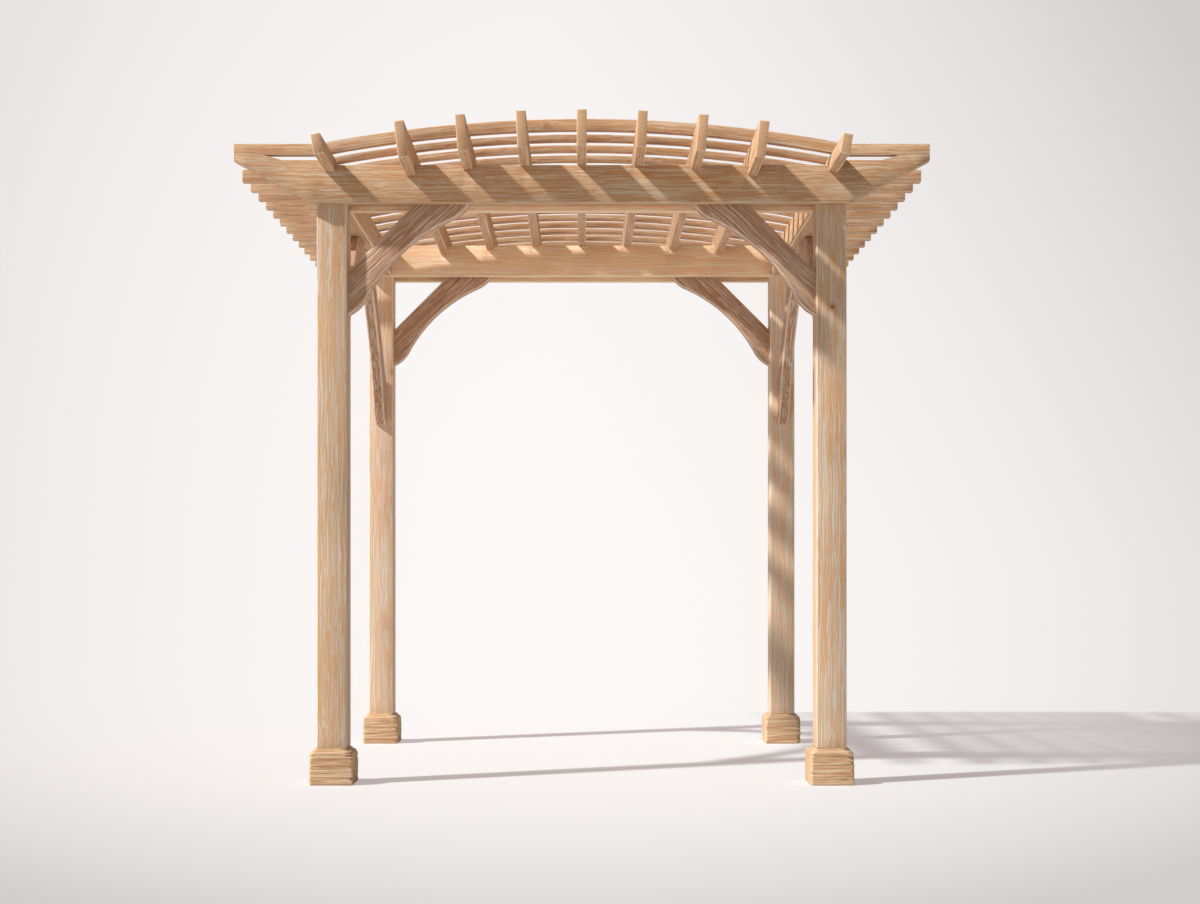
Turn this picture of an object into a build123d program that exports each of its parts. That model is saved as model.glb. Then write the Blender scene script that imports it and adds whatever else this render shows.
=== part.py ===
from build123d import *
import math
import os

# Wooden garden pergola in millimetres: an open timber frame under an arched lath roof.
# +Z is up, the front faces -Y, and the origin is on the ground under the middle of the outline.

# Posts and their base blocks
post_width = 120
post_spacing_x = 2000
post_spacing_y = 1650
block_width = 176
block_height = 145
block_chamfer = 20

# Beams: two boards clasp the posts, the outer one with long tips, and a core rests on the post tops
board_thickness = 38
beam_bottom = 2320
beam_depth = 150
core_recess = 20
beam_overhang = 385
tip_taper_length = 310
tip_face_height = 24
tip_top_above_beam = 20
tip_seat_length = 115
tip_rise_length = 80

# Knee braces along the beams and along the sides, with an ogee on the open edge
brace_thickness = 52
beam_brace_reach = 494
beam_brace_drop = 454
beam_brace_shoulder = 280
beam_brace_hollow = 40
side_brace_reach = 710
side_brace_drop = 739
side_brace_shoulder = 516
side_brace_hollow = 52
ogee_end_share = 0.15

# Rafters: they stand square to the roof arch, so each one leans outward
arch_radius = 5600
rafter_thickness = 38
rafter_depth = 140
end_rafter_depth = 77
rafter_pitch = 232
inner_rafters_per_side = 3
rafter_front_overhang = 336
rafter_rear_margin = 48

# Slats: arched laths across the rafters, the first one a deeper fascia
slat_count = 15
slat_width = 38
slat_pitch = 170
slat_depth = 26
slat_tail_depth = 50
slat_tail_below_beam = 28
slat_drop_length = 130
fascia_depth = 44
fascia_tail_above_beam = 41
fascia_drop_length = 30
arch_end_margin = 9
seat_gap = 0.1

# Places that follow from the sizes above
post_x = post_spacing_x / 2
last_slat_depth = (slat_count - 1) * slat_pitch + (slat_width - board_thickness) / 2
rafter_length = rafter_front_overhang + last_slat_depth + rafter_rear_margin
front_post_y = -rafter_length / 2 + rafter_front_overhang + post_width / 2
rear_post_y = front_post_y + post_spacing_y
beam_half_length = post_x + beam_overhang
beam_middle = (-post_x - post_width / 2, post_x + post_width / 2)
beam_top = beam_bottom + beam_depth
core_bottom = beam_bottom + core_recess
board_offset = (post_width + board_thickness) / 2
arch_centre_z = beam_top + rafter_depth - arch_radius
end_rafter_angle = math.asin(post_x / (arch_radius - end_rafter_depth))
end_rafter_underside = (
    arch_centre_z
    + (arch_radius - end_rafter_depth) * math.cos(end_rafter_angle)
    - rafter_thickness / 2 * math.sin(end_rafter_angle)
)
first_slat_y = front_post_y - board_offset
slat_arch_end = arch_radius * math.sin(end_rafter_angle) + rafter_thickness / 2 + arch_end_margin
slat_tail_bottom = beam_top - slat_tail_below_beam
fascia_tail_bottom = beam_top + fascia_tail_above_beam


def box_between(x_range, y_range, z_range):
    """Solid block that fills three ranges, each given as low and high."""
    ranges = (x_range, y_range, z_range)
    middle = [(low + high) / 2 for low, high in ranges]
    return Pos(*middle) * Box(*[high - low for low, high in ranges])


def around(middle, width):
    """Range of the given width about a middle value."""
    return middle - width / 2, middle + width / 2


def upright_slab(edges, thickness, y):
    """Slab cut to a closed outline in the XZ plane, centred on the given Y."""
    return Pos(0, y, 0) * extrude(make_face(edges), amount=thickness / 2, both=True)


def base_block(x, y):
    """Block under a post, with its four top edges bevelled."""
    block = box_between(around(x, block_width), around(y, block_width), (0, block_height))
    return chamfer(block.faces().sort_by(Axis.Z)[-1].edges(), block_chamfer)


def post(x, y):
    """Post from its base block up to the beam core."""
    return box_between(around(x, post_width), around(y, post_width), (block_height, core_bottom))


def rafter(angle, depth):
    """Rafter that leans by the given angle, its top edge on the roof arch."""
    plank = Pos(0, 0, arch_radius - depth / 2) * Box(rafter_thickness, rafter_length, depth)
    return Pos(0, 0, arch_centre_z) * Rot(0, math.degrees(angle), 0) * plank


def beam_core(y, housed):
    """Core of a beam between its boards, notched for the roof pieces that sink into it."""
    core = box_between(beam_middle, around(y, post_width), (core_bottom, beam_top))
    return core - housed


def inner_board(y, housed):
    """Inner board of a beam, sawn off square at the posts' outer faces and notched for the rafters."""
    board = box_between(beam_middle, around(y, board_thickness), (beam_bottom, beam_top))
    return board - housed


def outer_board(y, housed):
    """Outer board of a beam: its tapered tips step up at the end rafters and rise to the fascia."""
    seat_start = beam_half_length - tip_seat_length
    tip_top = beam_top + tip_top_above_beam
    right_side = [
        (beam_half_length - tip_taper_length, beam_bottom),
        (beam_half_length, fascia_tail_bottom - tip_face_height),
        (beam_half_length, fascia_tail_bottom),
        (seat_start, fascia_tail_bottom),
        (seat_start - tip_rise_length, tip_top),
        (post_x, tip_top),
        (post_x, beam_top),
    ]
    left_side = [(-x, z) for x, z in reversed(right_side)]
    outline = Polyline(*[(x, 0, z) for x, z in right_side + left_side], close=True)
    return upright_slab(outline, board_thickness, y) - housed


def side_beam(x):
    """Beam between the inner boards of the front and rear beams, under the end rafter."""
    inner_face = board_offset + board_thickness / 2
    y_range = (front_post_y + inner_face, rear_post_y - inner_face)
    return box_between(around(x, post_width), y_range, (beam_bottom, end_rafter_underside))


def brace(underside, reach, drop, shoulder, hollow):
    """Knee brace along +X from a post on the Z axis up to the given underside."""
    face_x = post_width / 2
    foot = Vector(face_x, 0, underside - drop)
    tip = Vector(face_x + reach, 0, underside)
    chord = tip - foot
    inward = Vector(-drop, 0, reach).normalized()
    arc_start = foot + chord * ogee_end_share
    arc_end = tip - chord * ogee_end_share
    arc = ThreePointArc(arc_start, foot + chord * 0.5 + inward * hollow, arc_end)
    toe = TangentArc(arc_start, foot, tangent=(arc % 0) * -1)
    nose = TangentArc(arc_end, tip, tangent=arc % 1)
    back = Polyline(tip, (face_x + shoulder, 0, underside), (face_x, 0, underside - shoulder), foot)
    return upright_slab([toe, arc, nose, back], brace_thickness, 0)


def beam_brace(x, y):
    """Brace from a post to its front or rear beam, seated in the recess under the core."""
    turn = 0 if x < 0 else 180
    shape = brace(core_bottom, beam_brace_reach, beam_brace_drop, beam_brace_shoulder, beam_brace_hollow)
    return Pos(x, y, 0) * Rot(0, 0, turn) * shape


def side_brace(x, y):
    """Larger brace from a post to the side beam."""
    turn = 90 if y == front_post_y else -90
    shape = brace(beam_bottom, side_brace_reach, side_brace_drop, side_brace_shoulder, side_brace_hollow)
    return Pos(x, y, 0) * Rot(0, 0, turn) * shape


def slat_edge(radius, drop_length, tail_z):
    """Long edge of a slat: an arch over the rafters that eases into a level tail at each end."""
    arch_end_z = arch_centre_z + math.sqrt(radius**2 - slat_arch_end**2)
    arch_slope = -slat_arch_end / math.sqrt(radius**2 - slat_arch_end**2)
    ease = drop_length / 2
    drop_end = slat_arch_end + drop_length
    arch_end = (slat_arch_end, 0, arch_end_z)
    arch = ThreePointArc((-slat_arch_end, 0, arch_end_z), (0, 0, arch_centre_z + radius), arch_end)
    drop = Bezier(
        arch_end,
        (slat_arch_end + ease, 0, arch_end_z + ease * arch_slope),
        (drop_end - ease, 0, tail_z),
        (drop_end, 0, tail_z),
    )
    tail = Line((drop_end, 0, tail_z), (beam_half_length, 0, tail_z))
    return [arch, drop, tail, mirror(drop, about=Plane.YZ), mirror(tail, about=Plane.YZ)]


def slat(y, depth, drop_length, tail_bottom, tail_depth):
    """Arched slat with level tails, resting on the rafter tops."""
    under_radius = arch_radius + seat_gap
    tail_top = tail_bottom + tail_depth
    ends = [
        Line((side * beam_half_length, 0, tail_bottom), (side * beam_half_length, 0, tail_top))
        for side in (-1, 1)
    ]
    under = slat_edge(under_radius, drop_length, tail_bottom)
    over = slat_edge(under_radius + depth, drop_length, tail_top)
    return upright_slab(under + over + ends, slat_width, y)


nodes = {}

# Rafters, numbered from left to right
inner_angles = [
    math.asin(index * rafter_pitch / arch_radius)
    for index in range(-inner_rafters_per_side, inner_rafters_per_side + 1)
]
rafters = [
    rafter(-end_rafter_angle, end_rafter_depth),
    *[rafter(angle, rafter_depth) for angle in inner_angles],
    rafter(end_rafter_angle, end_rafter_depth),
]
for number, piece in enumerate(rafters, start=1):
    nodes[f"rafter_{number}"] = piece

# Fascia slat in the plane of the front board, and the slats behind it, numbered to the rear
fascia = slat(first_slat_y, fascia_depth, fascia_drop_length, fascia_tail_bottom, fascia_depth)
slat_places = [first_slat_y + number * slat_pitch for number in range(1, slat_count)]
slats = [slat(y, slat_depth, slat_drop_length, slat_tail_bottom, slat_tail_depth) for y in slat_places]
nodes["fascia_slat"] = fascia
for number, piece in enumerate(slats, start=1):
    nodes[f"slat_{number:02d}"] = piece

# Front and rear frames: beam, posts, base blocks and braces
housed = rafters + [fascia] + slats
for end, y, outward in (("front", front_post_y, -1), ("rear", rear_post_y, 1)):
    boards = {outward: outer_board, -outward: inner_board}
    nodes[f"{end}_beam_core"] = beam_core(y, housed)
    nodes[f"{end}_beam_board_front"] = boards[-1](y - board_offset, housed)
    nodes[f"{end}_beam_board_back"] = boards[1](y + board_offset, housed)
    for side, x in (("left", -post_x), ("right", post_x)):
        nodes[f"{end}_{side}_base_block"] = base_block(x, y)
        nodes[f"{end}_{side}_post"] = post(x, y)
        nodes[f"{end}_{side}_beam_brace"] = beam_brace(x, y)
        nodes[f"{end}_{side}_side_brace"] = side_brace(x, y)

# Side beams that tie the two frames together
nodes["left_side_beam"] = side_beam(-post_x)
nodes["right_side_beam"] = side_beam(post_x)

os.makedirs("parts", exist_ok=True)
for name, shape in nodes.items():
    export_step(shape, f"parts/{name}.step")
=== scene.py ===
import bisect
import math
import random

import bmesh
import bpy
from mathutils import Matrix, Vector, noise


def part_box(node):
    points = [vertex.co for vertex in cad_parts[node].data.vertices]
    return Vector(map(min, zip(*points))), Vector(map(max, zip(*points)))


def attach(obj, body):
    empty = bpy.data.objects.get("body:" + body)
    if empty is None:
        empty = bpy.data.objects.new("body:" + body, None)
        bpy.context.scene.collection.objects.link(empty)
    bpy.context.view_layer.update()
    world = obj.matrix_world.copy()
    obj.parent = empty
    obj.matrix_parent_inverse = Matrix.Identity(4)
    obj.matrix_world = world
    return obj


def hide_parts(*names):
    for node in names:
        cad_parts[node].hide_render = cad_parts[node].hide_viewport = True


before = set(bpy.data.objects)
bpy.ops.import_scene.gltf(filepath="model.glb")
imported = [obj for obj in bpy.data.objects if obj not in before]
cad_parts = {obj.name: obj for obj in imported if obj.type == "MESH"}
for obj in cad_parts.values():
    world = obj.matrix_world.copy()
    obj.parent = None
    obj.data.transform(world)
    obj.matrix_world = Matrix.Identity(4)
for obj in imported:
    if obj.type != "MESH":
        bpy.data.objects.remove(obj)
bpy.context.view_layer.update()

# Base blocks: four short lengths of squared softwood that lie with their grain level and carry the
# posts. Their top edges are bevelled, and the layers of the grain have weathered back and chipped
# at the corners, most of all at the front right, where the bevel has broken into steps.
corner_names = ("front_left", "front_right", "rear_left", "rear_right")
block_rows = 116
block_corner = 0.009
block_corner_points = 7
block_corner_wear = {"rear_right": 1.0, "rear_left": 0.3, "front_left": 0.2, "front_right": 1.25}
block_bevel = 0.02
block_top_easing = 0.005
block_foot_easing = 0.7
block_layer = 0.0075
block_ledge_place = 0.35
block_ledge_depth = 0.7
block_groove = 0.0014
block_grooves_per_metre = 170
block_groove_offset = 3.1
block_ripple = 0.012
block_ripples_per_metre_level = 8
block_ripples_per_metre_up = 230
block_chip = 0.02
block_chip_draw = (-0.4, 1.0)
block_steps = 4
block_step = 0.011
block_step_reach = 0.03
# Painted highlight on the block's rounded corners.
block_corner_highlight = 0.35
block_crease = math.radians(38)
block_lie = (1, 0.03, 0.02)
block_pith = Vector((0, 0.05, -0.16))
block_pale = (219, 193, 160)
block_body = (206, 171, 134)
block_dark = (172, 120, 76)
block_ring = 0.011
block_relief = 1.6
block_streaks = 105.0
block_tones = (1.0, 1.0, 1.12, 1.12)
block_seed = 10


def paint(red, green, blue):
    """Linear colour, with alpha, of a colour given as the eight-bit numbers of a screen."""
    shares = [value / 255 for value in (red, green, blue)]
    linear = [((share + 0.055) / 1.055) ** 2.4 if share > 0.04045 else share / 12.92 for share in shares]
    return (*linear, 1.0)


def shaded(color, share):
    """Linear colour of a screen colour with all its numbers made larger or smaller by a share."""
    return paint(*[share * value for value in color])


class Shade:
    """A socket in a node tree. Sums on it add Math nodes, and its node method adds any other node."""

    def __init__(self, tree, socket=None):
        self.tree = tree
        self.socket = socket

    def __getitem__(self, output):
        return Shade(self.tree, self.socket.node.outputs[output])

    def node(self, kind, settings=None, inputs=None):
        made = self.tree.nodes.new(kind)
        for name, value in (settings or {}).items():
            setattr(made, name, value)
        for name, value in (inputs or {}).items():
            if isinstance(value, Shade):
                self.tree.links.new(value.socket, made.inputs[name])
            else:
                made.inputs[name].default_value = value
        return Shade(self.tree, made.outputs[0] if made.outputs else None)

    def math(self, operation, *values):
        return self.node("ShaderNodeMath", {"operation": operation}, dict(enumerate(values)))

    def vector(self, operation, *values):
        return self.node("ShaderNodeVectorMath", {"operation": operation}, dict(enumerate(values)))

    def mix(self, share, other):
        """This colour with a share of the other in it."""
        factor, first, second, result = 0, 6, 7, 2
        inputs = {factor: share, first: self, second: other}
        return self.node("ShaderNodeMix", {"data_type": "RGBA"}, inputs)[result]

    def between(self, low, high):
        """0 below low, 1 above high, and an eased rise from one to the other."""
        inputs = {"Value": self, "From Min": low, "From Max": high}
        return self.node("ShaderNodeMapRange", {"interpolation_type": "SMOOTHSTEP"}, inputs)

    def __add__(self, other):
        return self.math("ADD", self, other)

    def __sub__(self, other):
        return self.math("SUBTRACT", self, other)

    def __mul__(self, other):
        return self.math("MULTIPLY", self, other)

    def __truediv__(self, other):
        return self.math("DIVIDE", self, other)

    def __radd__(self, other):
        return self.math("ADD", other, self)

    def __rsub__(self, other):
        return self.math("SUBTRACT", other, self)

    def __rmul__(self, other):
        return self.math("MULTIPLY", other, self)

    def __rtruediv__(self, other):
        return self.math("DIVIDE", other, self)


knots_per_metre = 3.3
knot_heart = (0.004, 0.011)
knot_halo = (0.012, 0.03)
knot_swell = (0.006, 0.055)
knot_swell_height = 0.012
grain_sway = 0.022
ring_drift = 0.05
late_wood_rise = (0.3, 0.82)
late_wood_end = (0.86, 1.0)
vein_shift = (7.0, 3.0, 5.0)
bump_strength = 0.6
timber_shine = 0.3
lightest_timber = (0.92, 0.92, 0.92)


def timber(name, pale, body, dark, ring, relief=1.0, streaks=220.0):
    """Softwood with wavering rings about the pith, knots, fibres, and fine streaks per metre across."""
    material = bpy.data.materials.new(name)
    material.use_nodes = True
    tree = material.node_tree
    tree.nodes.clear()
    sheet = Shade(tree)
    grain = sheet.node("ShaderNodeAttribute", {"attribute_name": "grain"})["Vector"]
    arris = sheet.node("ShaderNodeAttribute", {"attribute_name": "arris"})["Fac"]
    sawn = sheet.node("ShaderNodeAttribute", {"attribute_name": "sawn"})["Fac"]
    tone_and_painted_light = sheet.node("ShaderNodeAttribute", {"attribute_name": "tone_and_painted_light"})["Fac"]

    def cloud(place, along, across, detail, output="Fac"):
        """Noise stretched along the grain, with its features per metre along and across it."""
        place = place.vector("MULTIPLY", place, (along, across, across))
        inputs = {"Vector": place, "Scale": 1.0, "Detail": detail, "Roughness": 0.55}
        return grain.node("ShaderNodeTexNoise", None, inputs)[output]

    # Knots, and the rings that waver along the log and swell round them
    knot_grid = {"Vector": grain, "Scale": knots_per_metre, "Randomness": 1.0}
    knot = grain.node("ShaderNodeTexVoronoi", {"feature": "F1"}, knot_grid)["Distance"] / knots_per_metre
    heart = 1.0 - knot.between(*knot_heart)
    halo = (1.0 - knot.between(*knot_halo)) * 0.5
    sway = cloud(grain, along=5.0, across=13.0, detail=2.0, output="Color")
    sway = sway.vector("SUBTRACT", sway, (0.5, 0.5, 0.5))
    sway = sway.vector("MULTIPLY", sway, (0.0, grain_sway, grain_sway))
    wavy = grain.vector("ADD", grain, sway)
    radius = grain.vector("LENGTH", wavy.vector("MULTIPLY", wavy, (0.0, 1.0, 1.0)))["Value"]
    swell = knot_swell_height * (1.0 - knot.between(*knot_swell))
    drift = (cloud(grain, along=1.1, across=4.0, detail=1.0) - 0.5) * ring_drift
    rings = (radius + swell + drift) / ring
    number = rings.math("FLOOR", rings)
    phase = rings.math("FRACT", rings)
    strength = number.node("ShaderNodeTexWhiteNoise", {"noise_dimensions": "1D"}, {"W": number})["Value"]
    late = phase.between(*late_wood_rise) * (1.0 - phase.between(*late_wood_end)) * (0.3 + 0.7 * strength)

    # Pale streaks, dark veins, fibres and broad darker patches, all drawn out along the grain
    streak = cloud(wavy, along=2.4, across=streaks, detail=2.0).between(0.46, 0.6)
    streak = streak * (1.0 - 0.7 * sawn)
    vein_place = wavy.vector("ADD", wavy, vein_shift)
    vein = cloud(vein_place, along=2.1, across=0.85 * streaks, detail=2.0).between(0.48, 0.6)
    vein = vein * (1.0 - 0.8 * sawn)
    fibre = cloud(wavy, along=26.0, across=950.0, detail=2.0)
    patch = cloud(grain, along=1.6, across=11.0, detail=2.0).between(0.38, 0.66)

    base = sheet.node("ShaderNodeRGB")
    base.socket.default_value = paint(*body)
    color = base.mix(patch * 0.3, paint(*dark))
    color = color.mix(late * (0.75 + 0.2 * sawn), shaded(dark, 0.97))
    color = color.mix(streak * 0.9, paint(*pale))
    color = color.mix(vein * 0.7, paint(*dark))
    color = color.mix(fibre.between(0.42, 0.72) * 0.28, paint(*pale))
    color = color.mix(halo, shaded(dark, 0.88))
    color = color.mix(heart * 0.85, shaded(dark, 0.55))
    # Painted highlight: faces marked as eased edges are painted paler.
    color = color.mix(arris * (0.7 + 0.3 * streak), shaded(pale, 1.13))
    # A tone above 1 pales and brightens the timber: random tone on some pieces, painted light on the rear
    # posts and the shaded beam boards.
    tone_and_light_paling = 0.6 * tone_and_painted_light.math("MAXIMUM", tone_and_painted_light - 1.0, 0.0)
    color = color.mix(tone_and_light_paling, paint(*pale))
    color = color.vector("MULTIPLY", color, tone_and_painted_light)
    color = color.vector("MINIMUM", color, lightest_timber)
    rough = 0.66 + 0.1 * late - 0.08 * streak
    height = relief * (vein * 0.0005 + late * 0.0004 + fibre * 0.0002 - streak * 0.0004)
    bump = {"Height": height, "Distance": 1.0, "Strength": bump_strength}
    normal = height.node("ShaderNodeBump", None, bump)
    skin = {"Base Color": color, "Roughness": rough, "Normal": normal, "Specular IOR Level": timber_shine}
    surface = sheet.node("ShaderNodeBsdfPrincipled", None, skin)
    sheet.node("ShaderNodeOutputMaterial", None, {"Surface": surface})
    return material


section_vertices = 10
sawn_across = 0.8


def straighten(places, height):
    """Lets the grain keep to the middle of a piece that bends up and down along X."""
    columns = {}
    for place in places:
        columns.setdefault(round(place.x, 4), []).append(place.z)
    sections = sorted(
        (x, (min(column) + max(column)) / 2)
        for x, column in columns.items()
        if len(column) >= section_vertices
    )
    stations = [x for x, _ in sections]
    for place in places:
        after = min(max(bisect.bisect(stations, place.x), 1), len(sections) - 1)
        (x_low, z_low), (x_high, z_high) = sections[after - 1], sections[after]
        share = min(max((place.x - x_low) / (x_high - x_low), 0.0), 1.0)
        place.z += height - z_low - share * (z_high - z_low)


def lay_grain(piece, along, pith, seed, tone_and_painted_light=1.0, bent=False):
    """Gives each vertex its way along the log and its two ways across it from the pith."""
    start = Vector((random.Random(seed).uniform(2.0, 40.0), 0.0, 0.0))
    along = Vector(along).normalized()
    across = along.orthogonal().normalized()
    turn = Matrix((along, across, along.cross(across)))
    places = [vertex.co.copy() for vertex in piece.data.vertices]
    if bent:
        straighten(places, pith[2])
    ends = [float(abs(face.normal.dot(along)) > sawn_across) for face in piece.data.polygons]
    piece.data.attributes.new("sawn", "FLOAT", "FACE").data.foreach_set("value", ends)
    # Brightness of the whole piece: random tone, and for some pieces painted light.
    piece.data.attributes.new("tone_and_painted_light", "FLOAT", "POINT").data.foreach_set("value", [tone_and_painted_light] * len(places))
    grain = piece.data.attributes.new("grain", "FLOAT_VECTOR", "POINT")
    for index, place in enumerate(places):
        grain.data[index].vector = turn @ (place - pith) + start


def make_piece(name, shape, crease):
    """Object from a shape, smooth but for the edges that turn by more than the crease angle."""
    mesh = bpy.data.meshes.new(name)
    shape.to_mesh(mesh)
    shape.free()
    mesh.shade_smooth()
    mesh.set_sharp_from_angle(angle=crease)
    piece = bpy.data.objects.new(name, mesh)
    bpy.context.scene.collection.objects.link(piece)
    return piece


def finish(piece, node, material):
    """Gives a piece its timber and its place in the frame, and hides the node that it stands for."""
    piece.data.materials.clear()
    piece.data.materials.append(material)
    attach(piece, "root")
    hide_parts(node)


def middle(node):
    """Middle of a node's box."""
    low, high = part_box(node)
    return (low + high) / 2


def block_outline(half_width, corners):
    """Closed outline of a block at one height: a square whose four corners each have their own radius."""
    outline = []
    for quarter, corner in enumerate(corners):
        across = Matrix.Rotation(math.radians(90 * quarter), 2)
        for step in range(block_corner_points):
            angle = math.radians(90 * step / (block_corner_points - 1))
            turned = Vector((math.cos(angle), math.sin(angle)))
            centre = Vector((half_width - corner, half_width - corner))
            outline.append(across @ (centre + corner * turned))
    return outline


def base_block(name, node, seed):
    """Block built up in level layers, each worn back by its own amount and chipped at its corners."""
    low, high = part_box(node)
    centre = (low + high) / 2
    half_width = (high.x - low.x) / 2
    shape = bmesh.new()
    mark = shape.faces.layers.float.new("arris")
    rings = []
    for row in range(block_rows + 1):
        height = high.z * row / block_rows
        layer = math.floor(height / block_layer)
        worn = random.Random(1000 * seed + layer)
        ledge = min(height, (layer + block_ledge_place) * block_layer)
        cut = (1 - block_ledge_depth) * height + block_ledge_depth * ledge
        bevel = max(0.0, cut - (high.z - block_bevel), height - high.z + block_top_easing)
        foot = max(0.0, block_top_easing - height) * block_foot_easing
        groove_place = Vector((seed, block_groove_offset, height * block_grooves_per_metre))
        groove = block_groove * max(0.0, noise.noise(groove_place))
        steps_below = math.floor((high.z - height) / block_step)
        stepped = block_step_reach * max(0.0, 1.0 - steps_below / block_steps)
        corners = [
            block_corner + wear * (stepped + block_chip * max(0.0, worn.uniform(*block_chip_draw)) ** 2)
            for wear in block_corner_wear.values()
        ]
        ring = []
        for place in block_outline(half_width - bevel - foot - groove, corners):
            ripple_place = (
                place.x * block_ripples_per_metre_level + seed,
                place.y * block_ripples_per_metre_level,
                height * block_ripples_per_metre_up,
            )
            place *= 1.0 - block_ripple * max(0.0, noise.noise(Vector(ripple_place)))
            ring.append(shape.verts.new((centre.x + place.x, centre.y + place.y, height)))
        rings.append(ring)
    for lower, upper in zip(rings, rings[1:]):
        for index in range(len(lower)):
            after = (index + 1) % len(lower)
            face = shape.faces.new((lower[index], lower[after], upper[after], upper[index]))
            # The rounded corners are marked for a painted highlight.
            at_corner = (index + 1) % block_corner_points > 0
            face[mark] = block_corner_highlight * at_corner
    shape.faces.new(rings[-1])
    shape.faces.new(rings[0][::-1])
    return make_piece(name, shape, block_crease)


block_timber = timber(
    "block_timber", block_pale, block_body, block_dark, block_ring, block_relief, block_streaks
)
for number, corner in enumerate(corner_names):
    node = f"{corner}_base_block"
    block = base_block(f"{corner}_block", node, block_seed + 1 + number)
    lay_grain(block, block_lie, middle(node) + block_pith, block_seed + number, block_tones[number])
    finish(block, node, block_timber)

# Posts: full-height squared softwood with upright grain, planed on all sides. Each one stands on its
# block and is clasped by the two boards of the beam above it.
post_arris = 0.0045
post_pale = (208, 200, 187)
post_body = (203, 173, 139)
post_dark = (207, 150, 93)
post_ring = 0.0078
post_relief = 0.6
# The rear posts are painted paler, a painted light that stands for sun where the roof shades them.
post_painted_light = (1.0, 1.0, 1.22, 1.34)
post_lean = (0.004, 0.002, 1)
post_pith = Vector((0.03, 0.11, 0))
post_seed = 20

weld_gap = 0.00005
flat_turn = math.radians(0.5)
corner_turn = math.radians(25)
plank_crease = math.radians(35)
# Painted highlight: eased edges are marked to be painted paler, most where they face down.
arris_highlight = 0.6
arris_highlight_below = 0.4
arris_mark_least = 0.1
wear_step = 0.055
wear_depth = 0.0016
wear_per_metre = 13
wear_seed_step = 7.3


def cut_piece(name, node, arris, along, seed):
    """Piece cut to a solid's outline, its convex edges eased, marked for a painted highlight, and worn
    unevenly along it.
    """
    along = Vector(along).normalized()
    shape = bmesh.new()
    shape.from_mesh(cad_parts[node].data)
    mark = shape.faces.layers.float.new("arris")
    bmesh.ops.remove_doubles(shape, verts=shape.verts, dist=weld_gap)
    bmesh.ops.dissolve_limit(shape, angle_limit=flat_turn, verts=shape.verts, edges=shape.edges)
    corners = [
        edge for edge in shape.edges
        if edge.is_manifold and edge.is_convex and edge.calc_face_angle() > corner_turn
    ]
    eased = bmesh.ops.bevel(
        shape, geom=corners, offset=arris, segments=3, profile=0.5, affect="EDGES", clamp_overlap=True
    )
    # Mark the eased faces for the painted highlight, strongest on the faces that look down.
    for face in eased["faces"]:
        face[mark] = arris_highlight - arris_highlight_below * face.normal.z
    reach = [vertex.co.dot(along) for vertex in shape.verts]
    start, end = min(reach), max(reach)
    cuts = int((end - start) / wear_step)
    for cut in range(1, cuts):
        place = along * (start + (end - start) * cut / cuts)
        parts = [*shape.verts, *shape.edges, *shape.faces]
        bmesh.ops.bisect_plane(shape, geom=parts, dist=weld_gap, plane_co=place, plane_no=along)
    shape.normal_update()
    for vertex in shape.verts:
        if all(face[mark] > arris_mark_least for face in vertex.link_faces):
            worn = noise.noise(vertex.co * wear_per_metre + Vector((seed * wear_seed_step, 0, 0)))
            vertex.co -= vertex.normal * wear_depth * max(0.0, worn)
    return make_piece(name, shape, plank_crease)


post_timber = timber("post_timber", post_pale, post_body, post_dark, post_ring, post_relief)
for number, corner in enumerate(corner_names):
    node = f"{corner}_post"
    seed = post_seed + number
    post = cut_piece(f"{corner}_upright", node, post_arris, (0, 0, 1), seed)
    lay_grain(post, post_lean, middle(node) + post_pith, seed, post_painted_light[number])
    finish(post, node, post_timber)

# Beams: each is two boards, the outer one with tapered tips, either side of a core on the post tops,
# with side beams between the two frames. All are planed softwood with the grain along their length.
beam_arris = 0.007
beam_pale = (209, 190, 164)
beam_body = (196, 158, 119)
beam_dark = (189, 131, 80)
beam_ring = 0.0085
beam_relief = 0.8
# Tones per board: the back boards and the rear beam's core and boards are painted paler, a painted light
# where slats and the front board shade them.
beam_tones_and_painted_light = {
    "front_beam_core": 1.0,
    "front_beam_board_front": 0.92,
    "front_beam_board_back": 1.5,
    "rear_beam_core": 1.2,
    "rear_beam_board_front": 1.58,
    "rear_beam_board_back": 1.5,
}
beam_lie = (1, 0, 0.006)
beam_pith = Vector((0, 0.09, -0.05))
beam_seed = 30
side_beam_lie = (0.004, 1, 0)
side_beam_pith = Vector((0.1, 0, -0.05))
side_beam_seed = 40
beam_timber = timber("beam_timber", beam_pale, beam_body, beam_dark, beam_ring, beam_relief)
for seed, (node, tone_and_painted_light) in enumerate(beam_tones_and_painted_light.items(), start=beam_seed):
    beam = cut_piece(f"{node}_plank", node, beam_arris, (1, 0, 0), seed)
    lay_grain(beam, beam_lie, middle(node) + beam_pith, seed, tone_and_painted_light)
    finish(beam, node, beam_timber)
for seed, node in enumerate(("left_side_beam", "right_side_beam"), start=side_beam_seed):
    beam = cut_piece(f"{node}_plank", node, beam_arris, (0, 1, 0), seed)
    lay_grain(beam, side_beam_lie, middle(node) + side_beam_pith, seed)
    finish(beam, node, beam_timber)

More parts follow.
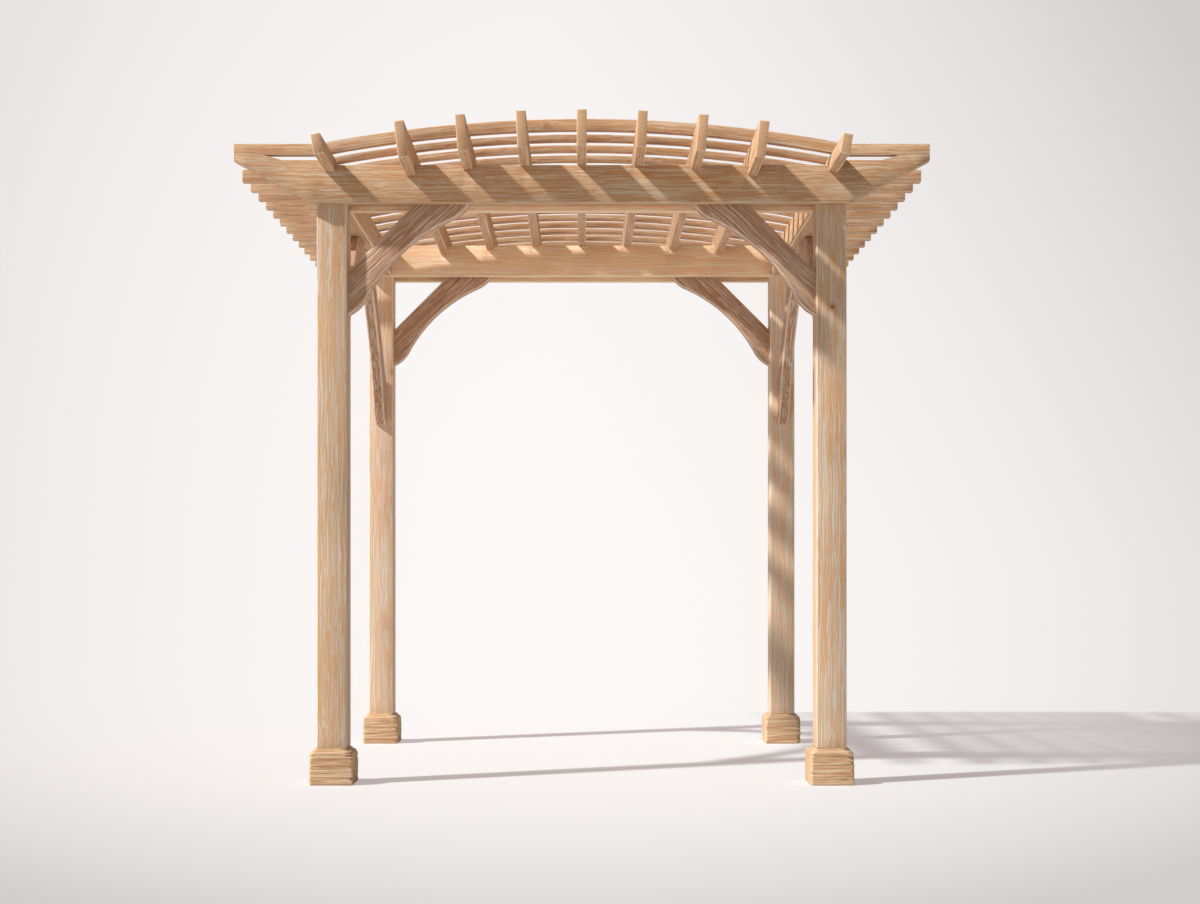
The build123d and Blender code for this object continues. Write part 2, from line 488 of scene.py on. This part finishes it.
# Knee braces: sawn from wide boards with the grain along the slope, and an ogee on the open edge.
# The beam braces seat in the recess under the core, and the longer side braces under the side beam.
brace_arris = 0.008
brace_pale = (219, 199, 180)
brace_body = (190, 151, 118)
brace_dark = (163, 107, 68)
brace_ring = 0.0085
brace_pith = Vector((0.05, 0.06, -0.1))
brace_seed = 50
beam_brace_climb = 0.92
side_brace_climb = 1.04
brace_timber = timber("brace_timber", brace_pale, brace_body, brace_dark, brace_ring)
for number, corner in enumerate(corner_names):
    inward_x = 1 if "left" in corner else -1
    inward_y = 1 if "front" in corner else -1
    slopes = {
        "beam": Vector((inward_x, 0, beam_brace_climb)),
        "side": Vector((0, inward_y, side_brace_climb)),
    }
    for seed, (kind, slope) in enumerate(slopes.items(), start=brace_seed + 2 * number):
        node = f"{corner}_{kind}_brace"
        brace = cut_piece(f"{corner}_{kind}_knee", node, brace_arris, slope, seed)
        lay_grain(brace, slope, middle(node) + brace_pith, seed)
        finish(brace, node, brace_timber)

# Rafters: planks on edge that lean out square to the arch of the roof, let into the beams and
# sawn off square at both ends.
rafter_count = 9
rafter_arris = 0.003
rafter_pale = (213, 190, 163)
rafter_body = (202, 162, 123)
rafter_dark = (188, 132, 84)
rafter_ring = 0.007
rafter_relief = 0.8
rafter_lie = (0.002, 1, 0.004)
rafter_pith = Vector((0.04, 0, -0.11))
rafter_seed = 60
rafter_timber = timber(
    "rafter_timber", rafter_pale, rafter_body, rafter_dark, rafter_ring, rafter_relief
)
for number in range(1, rafter_count + 1):
    node = f"rafter_{number}"
    seed = rafter_seed + number
    rafter = cut_piece(f"rafter_plank_{number}", node, rafter_arris, (0, 1, 0), seed)
    lay_grain(rafter, rafter_lie, middle(node) + rafter_pith, seed)
    finish(rafter, node, rafter_timber)

# Slats: thin laths bent over the rafters, so that their grain follows the arch, with level tails. The
# fascia at the front is deeper and stands on the tips of the beam's outer board.
slat_count = 14
slat_arris = 0.0025
slat_pale = (211, 190, 165)
slat_body = (199, 159, 119)
slat_dark = (188, 130, 80)
slat_ring = 0.0065
slat_relief = 0.8
slat_tones = (0.97, 1.12)
slat_pith = Vector((0, 0.03, -0.05))
slat_seed = 80
slat_timber = timber("slat_timber", slat_pale, slat_body, slat_dark, slat_ring, slat_relief)
slat_nodes = ["fascia_slat"] + [f"slat_{number:02d}" for number in range(1, slat_count + 1)]
for number, node in enumerate(slat_nodes):
    seed = slat_seed + number
    slat = cut_piece(f"{node}_lath", node, slat_arris, (1, 0, 0), seed)
    tone_and_painted_light = random.Random(number).uniform(*slat_tones)
    lay_grain(slat, (1, 0, 0), middle(node) + slat_pith, seed, tone_and_painted_light, bent=True)
    finish(slat, node, slat_timber)

# Studio: a pale floor that runs out into a pale surround with a soft glow behind the object, one low
# soft sun from the front left and an even light from all round. The camera's place is settled here,
# because the surround fades away from the middle of its view.
image_width = 1200
image_height = 904
vanishing_x = 581.7
vanishing_y = 573
focal_pixels = 1682
camera_distance = 6.727
camera_height = 0.847
front_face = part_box("front_left_post")[0].y
viewpoint = Vector((0, front_face - camera_distance, camera_height))

glow_full = 0.975
glow_beside = 0.81
glow_middle = -0.02
glow_horizon = -0.06
fade_aside = 1.17
fade_up = 0.5
fade_down = 13.0
fade_up_right = 1.0
fade_most = 0.34
narrowest_ahead = 0.3
view_edge = (0.7, 0.89)
surround_tint = (1.0, 0.965, 0.955)


def studio_glow(way):
    """Brightness of the surround in a direction from the viewpoint: it fades to the sides, up and down.

    Beside and behind the viewpoint it is plain.
    """
    split = way.node("ShaderNodeSeparateXYZ", None, {"Vector": way.vector("NORMALIZE", way)})
    ahead = way.math("MAXIMUM", split["Y"], narrowest_ahead)
    aside = split["X"] / ahead - glow_middle
    rise = way.math("MAXIMUM", split["Z"] / ahead, 0.0)
    fall = way.math("MAXIMUM", glow_horizon - split["Z"] / ahead, 0.0)
    fade = fade_aside * aside * aside + fade_up * rise * rise + fade_down * fall * fall
    fade = fade + fade_up_right * rise * way.math("MAXIMUM", aside, 0.0)
    glow = glow_full - way.math("MINIMUM", fade, fade_most)
    return glow_beside + (glow - glow_beside) * split["Y"].between(*view_edge)


def seen_straight(sheet):
    """1 for the eye and for what shows in glossy or clear surfaces, and 0 for light that is cast."""
    path = sheet.node("ShaderNodeLightPath")
    rays = path["Is Camera Ray"] + path["Is Glossy Ray"] + path["Is Transmission Ray"]
    return path.math("MINIMUM", rays, 1.0)


floor_reach = 120.0
floor_tone = (170, 175, 175)
floor_sunlit = (0.5, 0.52, 0.51)
floor_cast_color = (0.64, 0.61, 0.59, 1)
shadow_paling = 0.45
shadow_pales = (1.1, 2.8)
floor_mesh = bpy.data.meshes.new("studio_floor")
floor_corners = [(x * floor_reach, y * floor_reach, 0) for x, y in ((-1, -1), (1, -1), (1, 1), (-1, 1))]
floor_mesh.from_pydata(floor_corners, [], [(0, 1, 2, 3)])
floor = bpy.data.objects.new("studio_floor", floor_mesh)
bpy.context.scene.collection.objects.link(floor)
floor_material = bpy.data.materials.new("studio_floor")
floor_material.use_nodes = True
floor_material.node_tree.nodes.clear()
floor_sheet = Shade(floor_material.node_tree)
floor_cast = floor_sheet.node("ShaderNodeBsdfDiffuse", None, {"Color": floor_cast_color})
place = floor_sheet.node("ShaderNodeNewGeometry")["Position"]
place_aside = place.node("ShaderNodeSeparateXYZ", None, {"Vector": place})["X"]
shadow_depth = 1.0 - shadow_paling * place_aside.between(*shadow_pales)
floor_color = shadow_depth.vector("MULTIPLY", shadow_depth, paint(*floor_tone)[:3])
floor_diffuse = floor_sheet.node("ShaderNodeBsdfDiffuse", None, {"Color": floor_color})
way = place.vector("SUBTRACT", place, tuple(viewpoint))
surround = way.vector("MULTIPLY", studio_glow(way), surround_tint)
sunlit = shadow_depth.vector("MULTIPLY", shadow_depth, floor_sunlit)
lift = surround.vector("SUBTRACT", surround, sunlit)
floor_glow = floor_sheet.node("ShaderNodeEmission", None, {"Color": lift, "Strength": 1.0})
floor_lit = floor_sheet.node("ShaderNodeAddShader", None, {0: floor_diffuse, 1: floor_glow})
floor_mix = {0: seen_straight(floor_sheet), 1: floor_cast, 2: floor_lit}
floor_seen = floor_sheet.node("ShaderNodeMixShader", None, floor_mix)
floor_sheet.node("ShaderNodeOutputMaterial", None, {"Surface": floor_seen})
floor_mesh.materials.append(floor_material)

air_color = (1.0, 0.95, 0.93, 1)
air_strength = 0.14
world = bpy.data.worlds.new("studio")
bpy.context.scene.world = world
world.use_nodes = True
world.node_tree.nodes.clear()
air = Shade(world.node_tree)
air_way = air.node("ShaderNodeTexCoord")["Generated"]
air_glow = {"Color": (*surround_tint, 1), "Strength": studio_glow(air_way)}
air_seen = air.node("ShaderNodeBackground", None, air_glow)
air_cast = air.node("ShaderNodeBackground", None, {"Color": air_color, "Strength": air_strength})
air_mix = air.node("ShaderNodeMixShader", None, {0: seen_straight(air), 1: air_cast, 2: air_seen})
air.node("ShaderNodeOutputWorld", None, {"Surface": air_mix})

sun_path = Vector((1.0, 0.43, -1.0))
sun_data = bpy.data.lights.new("low_sun", "SUN")
sun_data.energy = 5.1
sun_data.angle = math.radians(2.5)
sun_data.color = (1.0, 0.985, 0.965)
sun = bpy.data.objects.new("low_sun", sun_data)
sun.rotation_euler = sun_path.to_track_quat("-Z", "Y").to_euler()
bpy.context.scene.collection.objects.link(sun)

# Camera: level, at knee height in front of the middle between the posts. The frame is shifted up, so
# that the uprights stay upright.
sensor_width = 36
camera_data = bpy.data.cameras.new("camera")
camera_data.sensor_width = sensor_width
camera_data.lens = focal_pixels / image_width * sensor_width
camera_data.shift_x = (image_width / 2 - vanishing_x) / image_width
camera_data.shift_y = (vanishing_y - image_height / 2) / image_width
camera = bpy.data.objects.new("camera", camera_data)
camera.location = viewpoint
camera.rotation_euler = (math.pi / 2, 0, 0)
bpy.context.scene.collection.objects.link(camera)
bpy.context.scene.camera = camera

bpy.context.scene.view_settings.view_transform = "Standard"
